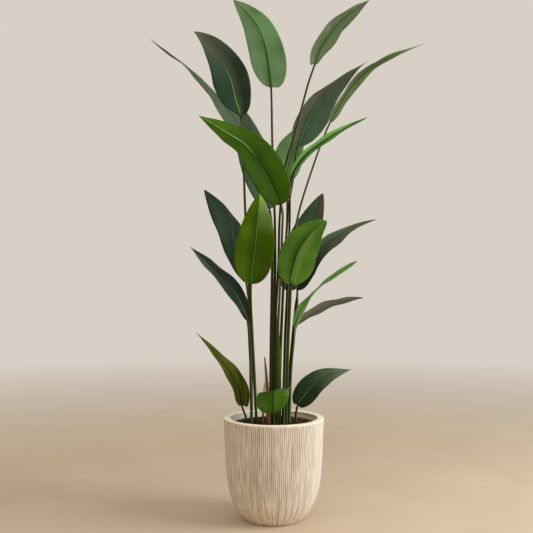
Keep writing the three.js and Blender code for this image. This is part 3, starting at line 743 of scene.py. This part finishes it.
# Painted light: the side away from the window is painted as shade, and the side towards it has a painted pale
# sheen, most of it low down.
facing = facing_window(tree)
rind = blend_colours(tree, fit_range(tree, facing, 0.1, -0.9, 0.0, 0.75), rind, paint(12, 14, 4))
painted_sheen = sums(tree, "MULTIPLY", fit_range(tree, facing, 0.25, 0.85), fact(tree, "painted_sheen"))
painted_sheen = sums(tree, "MULTIPLY", painted_sheen, fit_range(tree, fact(tree, "run"), 0.3, 0.9, 1.0, 0.4))
rind = blend_colours(tree, painted_sheen, rind, paint(148, 158, 106))
tree.links.new(rind, shader.inputs["Base Color"])
tree.links.new(relief(tree, streaks, 0.0004), shader.inputs["Normal"])
tree.links.new(fit_range(tree, patches, 0.3, 0.7, 0.22, 0.36), shader.inputs["Roughness"])
shader.inputs["Specular IOR Level"].default_value = 0.12

# Many of these greens hold painted light: one half of a blade is painted lighter, as if lit, and the other
# darker, as shade, and the grey-brown tones are painted reflections.
grow_frond(
    "crown", "leaf_hazy", 122, dark=0.42, painted_sheen=0.35, foot=6, blunt=(0.36, 0.56), taper=(0.95, 0.85),
    lobe=(6, 0), pleat=0.35,
    stalk=[(-2, 8), (-2, 8, 560), (0, 7, 690), (4, 6, 800), (4, 8, 960), (1, 9, 1060), (-5, 14, 1250),
           (-9, 20, 1425)],
    midrib=[(-17, 16, 1492), (-29, 6, 1560), (-53, -12, 1622), (-87, -35, 1660), (-131, -62, 1692)],
    face=[(0.1, 1, 0.2), (0.3, 1, 0.4)],
    halves=((104, 144, 96), (118, 158, 112)), valley=((100, 138, 90), (100, 140, 92)), rib=(44, 88, 20),
    far_rib=(72, 114, 48), line=0.0050, tip=(0.7, (112, 132, 94), (122, 156, 110)), bands=0.15,
    shows="under",
)
grow_frond(
    "upper_left", "leaf_dark", (128, 119), dark=0.45, blunt=(0.8, 0.46), taper=(1.3, 0.75), fold=10,
    stalk=[(-73, 6), (-78, 7, 560), (-82, 8, 770), (-94, 6, 1006), (-101, -2, 1200), (-109, -10, 1325)],
    midrib=[(-125, -10, 1382), (-145, -14, 1455), (-172, -25, 1503), (-207, -42, 1543), (-258, -70, 1586)],
    face=[(0.1, -1, 0.1), (0.1, -1, 0.3)],
    halves=((40, 64, 46), (32, 48, 32)), valley=((34, 58, 36), (76, 80, 66)), rib=(112, 160, 56),
    far_rib=(92, 116, 66), rib_edge=(26, 42, 22), line=0.0026, tip=(0.5, (88, 94, 80), (94, 94, 80)),
    bands=0.3,
)
grow_frond(
    "far_left", "leaf_hazy", 96, taper=(0.9, 2.0), fold=-14,
    stalk=[(-56, 18), (-73, 22, 650), (-90, 34, 900), (-99, 54, 1120), (-104, 68, 1250)],
    midrib=[(-114, 75, 1306), (-163, 80, 1370), (-212, 80, 1427), (-283, 80, 1499), (-416, 80, 1600)],
    face=[(0.6, 0.5, 0.6), (0.66, 0.42, 0.6), (0.62, 0.2, 0.7), (0.6, 0, 0.75), (0.4, -0.35, 0.7)],
    halves=((116, 142, 118), (114, 146, 122)), rib=(118, 122, 104), tip=(0.66, (56, 54, 26)),
    shows="under", turned=(52, 50, 22),
)
grow_frond(
    "upper_right", "leaf_hazy", (104, 120), dark=0.7, painted_sheen=0.35, blunt=(0.7, 0.3), taper=(0.9, 1.3),
    fold=-6, lobe=(0, 20),
    stalk=[(7, -1), (7, -1, 450), (7, -1, 690), (12, -2, 770), (16, -3, 870), (20, -10, 1000),
           (38, -36, 1160), (66, -42, 1255), (88, -38, 1337), (113, -22, 1430), (134, -10, 1493)],
    midrib=[(148, -6, 1538), (176, 4, 1586), (216, 18, 1640), (266, 34, 1686), (324, 50, 1728)],
    face=[(-0.75, 0.5, 0.5), (-0.6, 0.45, 0.7)],
    halves=((72, 90, 56), (84, 96, 70)), valley=((58, 82, 44), (62, 84, 48)), rib=(34, 64, 20),
    line=0.0034, tip=(0.94, (104, 150, 72)), bands=0.2, gloss=0.5, shows="under",
)
grow_frond(
    "right", "leaf_dark", (130, 126), dark=0.6, painted_sheen=0.3, blunt=(0.7, 0.56), taper=(1.55, 2.2),
    fold=(-30, -16),
    stalk=[(16, 20), (18, 20, 440), (28, 20, 690), (44, 20, 960), (52, 23, 1045), (66, 28, 1130),
           (79, 30, 1228)],
    midrib=[(98, 32, 1286), (125, 35, 1343), (158, 35, 1393), (240, 20, 1466), (312, 5, 1509)],
    face=[(-0.5, 0.75, 0.4), (-0.5, 0.75, 0.5)],
    halves=((58, 79, 56), (72, 76, 58)), valley=((46, 70, 48), (56, 66, 48)), rib=(66, 108, 36),
    far_rib=(74, 104, 50), rib_edge=(30, 48, 30), line=0.0020, tip=(0.3, (88, 94, 82), (98, 96, 84)),
    bands=(0.12, 0.26), gloss=0.5, shows="under",
)
grow_frond(
    "far_right", "leaf_hazy", (76, 84), dark=0.5, painted_sheen=0.5, taper=(1.4, 1.25), fold=-6,
    stalk=[(39, 36), (42, 38, 440), (51, 38, 720), (74, 48, 965), (133, 75, 1167), (193, 100, 1323)],
    midrib=[(227, 100, 1385), (268, 100, 1446), (315, 95, 1493), (380, 86, 1535), (504, 60, 1580)],
    face=[(-0.7, 0.36, 0.6), (-0.6, 0.33, 0.7), (-0.4, 0.35, 0.8)],
    halves=((80, 98, 56), (84, 92, 68)), valley=((56, 80, 38), (62, 82, 44)), rib=(50, 82, 32),
    line=0.0024, tip=(0.62, (124, 178, 102)), bands=0.2, gloss=0.5, shows="under",
)


# ------------------------------------------------------------------ fronds under the crown
# Four younger fronds fill the space below. The broad glossy one leans out in front of the others,
# and the slender one is still half rolled, so that its two halves stand up in a trough.

grow_frond(
    "back_left", "leaf_dark", (116, 128), dark=0.4, painted_sheen=0.45, foot=6, taper=(1.0, 0.8),
    stalk=[(-10, 24), (-9, 24, 560), (-6, 24, 760), (-4, 32, 930), (-8, 46, 985), (-14, 60, 1024)],
    midrib=[(-26, 74, 1080), (-52, 96, 1160), (-88, 126, 1260), (-126, 160, 1400)],
    face=[(0.1, -1, 0.3), (0, -1, 0.4)],
    halves=((78, 104, 86), (100, 120, 104)), rib=(60, 88, 60), bands=0.26,
)
grow_frond(
    "front_left", "leaf_bright", (150, 132), dark=0.1, sheath=(9.5, 580), blunt=0.45, taper=(0.8, 1.0),
    fold=10,
    stalk=[(15, -16), (15, -16, 545), (15, -16, 580), (14, -18, 625), (21, -30, 780), (27, -60, 950),
           (28, -70, 1000), (23, -75, 1029)],
    midrib=[(-2, -84, 1088), (-26, -95, 1135), (-86, -122, 1211), (-150, -150, 1250), (-233, -188, 1296)],
    face=[(0.2, -0.85, 0.4), (0.2, -0.75, 0.6)],
    halves=((42, 70, 2), (45, 74, 2)), valley=((32, 60, 2), (38, 66, 2)), rib=(24, 44, 8),
    far_rib=(168, 204, 146), line=0.0026, tip=(0.5, (56, 82, 8), (74, 110, 28)), bands=0.24, gloss=0.42,
    shine=0.03,
)
grow_frond(
    "right_slender", "leaf_bright", 34, dark=0.92, painted_sheen=0.9, fold=12, wave=2,
    stalk=[(30, -24), (33, -22, 445), (43, -19, 725), (52, -20, 970), (57, -30, 1116)],
    midrib=[(77, -35, 1158), (110, -42, 1198), (154, -50, 1230), (206, -60, 1264), (299, -80, 1308)],
    face=[(-0.45, -0.8, 0.45), (-0.4, -0.8, 0.5)],
    halves=((128, 184, 98), (84, 140, 60)), valley=((96, 150, 70), (72, 124, 50)), rib=(34, 54, 18),
    line=0.0044, tip=(0.7, (86, 120, 60)),
)
grow_frond(
    "back_right_high", "leaf_hazy", (104, 94),
    stalk=[(16, 36), (20, 38, 440), (31, 38, 720), (45, 48, 980), (46, 60, 1116)],
    midrib=[(47, 72, 1156), (52, 92, 1192), (68, 118, 1250), (96, 150, 1314)],
    face=[(0, -1, 0.3), (0, -1, 0.5)],
    halves=((98, 132, 82), (88, 122, 72)), rib=(56, 88, 42), bands=0.24,
)


# ------------------------------------------------------------------ middle fronds
# Five fronds stand half way up, dark ones behind and two bright ones in front of the stalks. They
# are grown leaves of the same clump, each on its own stem that stands in the soil.

grow_frond(
    "mid_left", "leaf_dark", 114, blunt=(0.6, 0.46), fold=-5,
    stalk=[(-73, 44), (-78, 48, 650), (-93, 60, 781)],
    midrib=[(-105, 55, 846), (-124, 44, 908), (-165, 20, 990), (-229, -10, 1083)],
    face=[(0.55, -0.8, 0.2), (0.5, -0.7, 0.5)],
    halves=((42, 66, 48), (40, 60, 44)), rib=(84, 104, 76), rib_edge=(24, 38, 28),
    tip=(0.6, (34, 54, 40)), bands=0.26,
)
grow_frond(
    "front_upright", "leaf_bright", 126, dark=0.6, painted_sheen=0.3, pleat=0.25,
    stalk=[(-56, -18), (-72, -48, 640), (-74, -80, 774)],
    midrib=[(-67, -95, 835), (-58, -110, 905), (-51, -125, 977), (-46, -150, 1057)],
    face=[(-0.1, -1, 0.2), (0, -1, 0.3)],
    halves=((74, 104, 12), (56, 82, 4)), valley=((44, 70, 6), (62, 90, 10)), rib=(96, 134, 56),
    far_rib=(126, 168, 92), rib_edge=(38, 62, 6), line=0.0026, tip=(0.55, (66, 98, 10), (156, 202, 112)),
    bands=0.05, gloss=0.42, shine=0.04,
)
grow_frond(
    "front_right", "leaf_bright", (120, 132), painted_sheen=0.35, taper=(0.8, 0.6), fold=10, pleat=(1.3, 0.2),
    stalk=[(39, -38), (43, -38, 440), (48, -38, 600), (53, -48, 710), (56, -60, 772)],
    midrib=[(65, -75, 822), (81, -100, 878), (104, -125, 916), (135, -150, 950), (163, -175, 971)],
    face=[(-0.1, -1, 0.2), (-0.2, -1, 0.4)],
    halves=((90, 134, 50), (98, 148, 50)), valley=((44, 80, 14), (128, 172, 86)), rib=(124, 176, 92),
    rib_edge=(30, 58, 10), line=0.0030, tip=(0.45, (88, 134, 40), (66, 106, 20)), bands=(0.32, 0.1),
    gloss=0.34, shine=0.05,
)
grow_frond(
    "back_right", "leaf_dark", 112,
    stalk=[(30, 54), (34, 56, 426), (40, 58, 640), (48, 66, 748)],
    midrib=[(62, 74, 800), (84, 88, 862), (122, 108, 966), (171, 132, 1083)],
    face=[(0, -1, 0.2), (0, -1, 0.4)],
    halves=((48, 72, 50), (68, 76, 58)), rib=(34, 52, 32), tip=(0.8, (66, 70, 54), (82, 78, 64)),
    bands=0.24,
)
grow_frond(
    "mid_right", "leaf_dark", (108, 100), dark=0.55, painted_sheen=0.28, sheath=(6.6, 735), taper=(0.9, 1.4),
    fold=-6,
    stalk=[(50, 0), (54, 0, 470), (66, -7, 620), (74, -11, 700), (77, -10, 735), (78, -7, 752)],
    midrib=[(106, -10, 828), (154, -20, 887), (206, -30, 925), (264, -42, 958), (330, -60, 982)],
    face=[(-0.6, -0.55, 0.5), (-0.5, -0.45, 0.75)],
    halves=((92, 114, 86), (36, 54, 40)), valley=((60, 78, 56), (38, 56, 40)), rib=(56, 92, 50),
    tip=(0.15, (78, 96, 68), (118, 128, 102)), bands=0.24,
)


# ------------------------------------------------------------------ lower fronds
# Three narrow fronds lean out low on both hands, and one of them turns over on its way. They are
# young leaves, and their stems stand in the soil at the outside of the clump.

grow_frond(
    "low_left", "leaf_dark", 92, dark=0.6, painted_sheen=0.3, blunt=0.6, taper=0.95, fold=6,
    stalk=[(-72, -28), (-74, -30, 440), (-79, -34, 560), (-86, -38, 653)],
    midrib=[(-97, -38, 688), (-123, -42, 739), (-178, -50, 801), (-270, -62, 893)],
    face=[(0.66, -0.5, 0.5), (0.6, -0.45, 0.7)],
    halves=((32, 54, 34), (18, 34, 20)), rib=(92, 112, 82), rib_edge=(14, 26, 14),
    tip=(0.3, (70, 92, 72), (44, 64, 48)), bands=0.26,
)
grow_frond(
    "low_right_slender", "leaf_bright", 54, taper=0.75, fold=4, wave=2,
    stalk=[(48, -22), (53, -24, 440), (64, -31, 585), (68, -38, 633)],
    midrib=[(85, -40, 682), (111, -46, 721), (140, -54, 756), (181, -62, 790), (267, -80, 848)],
    face=[(-0.55, -0.75, 0.5), (-0.75, 0.06, 0.6), (-0.4, -0.7, 0.6)],
    halves=((134, 174, 104), (120, 168, 88)), valley=((104, 150, 74), (92, 140, 60)), rib=(58, 84, 32),
)
grow_frond(
    "low_right", "leaf_dark", 92, wave=2,
    stalk=[(52, 20), (55, 20, 440), (66, 19, 570), (76, 18, 634)],
    midrib=[(97, 18, 652), (146, 22, 681), (205, 29, 704), (299, 40, 726)],
    face=[(-0.5, 0.4, 0.8), (-0.3, 0.3, 0.9)],
    halves=((80, 86, 66), (108, 106, 90)), valley=((70, 80, 54), (80, 92, 66)), rib=(50, 84, 36),
    tip=(0.8, (56, 58, 44)), bands=0.24, shows="under",
)


# ------------------------------------------------------------------ fronds at the pot
# The youngest fronds open just over the rim. The one in front folds forward over the soil, so that
# its pale underside shows where it turns.

grow_frond(
    "pot_left", "leaf_olive", (54, 72), blunt=0.34, taper=(1.05, 1.5), fold=6, wave=2, lobe=(0, 14),
    stalk=[(-90, 12), (-93, 14, 330), (-106, 20, 368)],
    midrib=[(-115, 16, 423), (-138, 8, 471), (-170, -5, 517), (-208, -25, 567), (-252, -50, 616)],
    face=[(0.5, -0.8, 0.3), (0.6, -0.6, 0.5)],
    halves=((76, 84, 10), (80, 92, 12)), rib=(38, 50, 8), line=0.0030, tip=(0.8, (52, 50, 20)),
    bands=0.12,
)
grow_frond(
    "pot_right", "leaf_dark", (84, 80), foot=4.6, taper=(1.25, 1.0), fold=6, wave=2, lobe=(6, 6),
    stalk=[(69, -14), (71, -14, 330), (79, -20, 376)],
    midrib=[(103, -30, 413), (134, -42, 450), (172, -55, 476), (209, -68, 490), (247, -80, 500)],
    face=[(-0.35, -0.9, 0.2), (-0.3, -0.8, 0.5)],
    halves=((44, 72, 44), (34, 56, 32)), rib=(100, 124, 96), rib_edge=(20, 36, 20),
    tip=(0.32, (128, 148, 118), (120, 140, 110)), bands=0.3,
)
grow_frond(
    "pot_front", "leaf_bright", (108, 104), blunt=(0.36, 0.6), taper=(0.8, 0.6), fold=4, wave=2,
    pleat=0.15,
    stalk=[(0, -60), (0, -62, 330), (-2, -75, 359)],
    midrib=[(-3, -86, 396), (-2, -100, 428), (12, -122, 441), (50, -140, 446)],
    face=[(0, -1, 0.1), (0.2, 0.2, -1)],
    halves=((74, 112, 32), (76, 118, 32)), valley=((58, 96, 20), (96, 136, 56)), rib=(44, 76, 16),
    line=0.0030, tip=(0.9, (84, 104, 60)), bands=0.06, gloss=0.42, shine=0.05, turned=(78, 92, 66),
)


# ------------------------------------------------------------------ dried shoots
# Two leaf sheaths have dried up beside the clump. They are papery and brown, fluted lengthways,
# and end in a ragged split tip.

dried_sheath, tree, shader = new_finish("dried_sheath")
fibres = grain(tree, 0.004, 4.0, stretch=(1.0, 1.0, 0.05))
dry = grain(tree, 0.03)
husk = blend_colours(tree, fibres, paint(64, 36, 14), paint(150, 94, 48))
husk = blend_colours(tree, fit_range(tree, dry, 0.35, 0.7, 0.0, 0.5), husk, paint(92, 62, 38))
tree.links.new(husk, shader.inputs["Base Color"])
tree.links.new(relief(tree, fibres, 0.0006), shader.inputs["Normal"])
tree.links.new(fit_range(tree, fibres, 0.2, 0.8, 0.7, 0.9), shader.inputs["Roughness"])

SHOOT_ROWS, SHOOT_SIDES, SHOOT_TAPER = 60, 24, 0.75
SHOOT_RIBS, RIB_HEIGHT, RIB_TWIST, CRUMPLE, CRUMPLES = 6, 0.1, 3, 0.06, 20
SPLITS, SPLIT_DEPTH, SPLIT_START = 3, 0.006, 0.97
for name, radius, route in (
    ("tall", 9.0, [(-17, -26), (-22, -26, 440), (-30, -26, 535)]),
    ("short", 4.4, [(-37, -26), (-33, -28, 400), (-31, -28, 452)]),
):
    places, marks = run_of(rooted(route))
    heading = unit(np.gradient(places, axis=0))
    husk_points = []
    for row in range(SHOOT_ROWS + 1):
        t = row / SHOOT_ROWS
        centre = trail(places, t * marks[-1], marks)
        forward = unit(trail(heading, t * marks[-1], marks))
        side = unit(np.cross(forward, (0, -1, 0)))
        for turn in np.arange(SHOOT_SIDES) / SHOOT_SIDES * 2 * math.pi:
            ribs = 1 + RIB_HEIGHT * math.cos(turn * SHOOT_RIBS + t * RIB_TWIST)
            ribs += CRUMPLE * noise.noise(Vector((turn, t * CRUMPLES, radius)))
            reach = radius * MM * (1 - SHOOT_TAPER * t * t) * (ribs - RIB_HEIGHT)
            split = max(0, t - SPLIT_START) / (1 - SPLIT_START) * (0.5 + 0.5 * math.sin(turn * SPLITS))
            round_it = side * math.cos(turn) + np.cross(forward, side) * math.sin(turn)
            husk_points.append(centre + round_it * reach - forward * SPLIT_DEPTH * split)
    shoot = skin("dried_sheath_" + name, husk_points, tube_faces(SHOOT_ROWS + 1, SHOOT_SIDES), [dried_sheath])
    close_up(shoot)
    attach(shoot, "root")
    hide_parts("dried_shoot_" + name)
